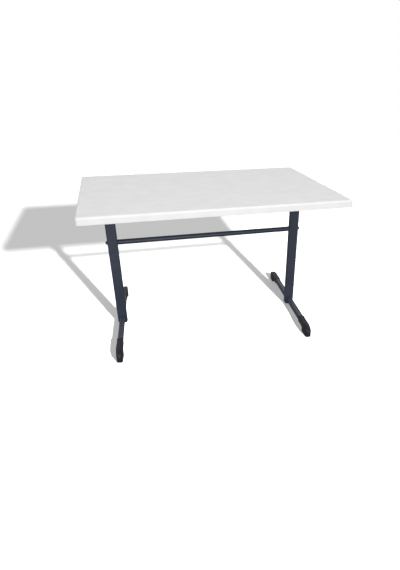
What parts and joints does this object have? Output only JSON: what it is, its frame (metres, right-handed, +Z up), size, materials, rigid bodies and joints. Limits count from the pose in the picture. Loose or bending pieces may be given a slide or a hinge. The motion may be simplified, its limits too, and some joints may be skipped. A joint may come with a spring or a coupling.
{
  "type": "folding table",
  "caption": "Table with a moulded rectangular top that tips upright on T-shaped steel legs with skewed feet, a round crossbar and cam clamp levers.",
  "frame": {"origin": "on the floor under the middle of the tabletop, which is the bottom centre of the whole table's box", "axes": "+Z up, +X along the long side of the top, +Y from the front edge to the back; the top tips about a line along X"},
  "size_m": [1.2, 0.8, 0.7],
  "materials": {
    "moulded_top": "moulded wood fibre with a pale, faintly mottled melamine face, satin",
    "painted_steel": "dark slate-blue powder coat, semi-gloss",
    "dark_bolts": "dark coated bolt steel, satin",
    "plated_steel": "zinc plated",
    "lever_black": "die-cast, black coated, satin",
    "black_plastic": "moulded black nylon, fine grain",
    "nylon": "natural nylon",
    "brass": "turned, knurled",
    "rubber": "moulded black rubber"
  },
  "bodies": {
    "leg_frame": {"left_post": "painted_steel", "left_post_cap": "black_plastic", "left_pivot_sleeve": "painted_steel", "left_side_washers": "nylon", "left_post_end_plug": "black_plastic", "left_foot_bar": "painted_steel", "left_front_shoe": "black_plastic", "left_rear_shoe": "black_plastic", "right_post": "painted_steel", "right_post_cap": "black_plastic", "right_pivot_sleeve": "painted_steel", "right_side_washers": "nylon", "right_post_end_plug": "black_plastic", "right_foot_bar": "painted_steel", "right_front_shoe": "black_plastic", "right_rear_shoe": "black_plastic", "shoe_screws": "plated_steel", "crossbar": "painted_steel", "crossbar_plugs": "plated_steel", "crossbar_washers": "dark_bolts", "crossbar_bolts": "dark_bolts"},
    "top": {"tabletop": "moulded_top", "left_bearer": "painted_steel", "left_bearer_screws": "plated_steel", "left_top_inserts": "brass", "left_fold_buffer": "rubber", "left_buffer_screw": "plated_steel", "left_pivot_bolt": "plated_steel", "left_lock_nut": "plated_steel", "left_nut_washer": "plated_steel", "left_cam_washer": "plated_steel", "left_cam_pin": "plated_steel", "right_bearer": "painted_steel", "right_bearer_screws": "plated_steel", "right_top_inserts": "brass", "right_fold_buffer": "rubber", "right_buffer_screw": "plated_steel", "right_pivot_bolt": "plated_steel", "right_lock_nut": "plated_steel", "right_nut_washer": "plated_steel", "right_cam_washer": "plated_steel", "right_cam_pin": "plated_steel"},
    "left_lever": {"left_cam_lever": "lever_black"},
    "right_lever": {"right_cam_lever": "lever_black"}
  },
  "joints": [
    {"name": "top_tilt", "type": "hinge", "parent": "leg_frame", "child": "top", "pos_m": [0, -0.008, 0.649], "axis": [1, 0, 0], "range_deg": [0, 90]},
    {"name": "left_cam", "type": "hinge", "parent": "top", "child": "left_lever", "pos_m": [-0.5204, -0.008, 0.649], "axis": [0, 0, -1], "range_deg": [0, 135]},
    {"name": "right_cam", "type": "hinge", "parent": "top", "child": "right_lever", "pos_m": [0.5204, -0.008, 0.649], "axis": [0, 0, 1], "range_deg": [0, 135]}
  ]
}
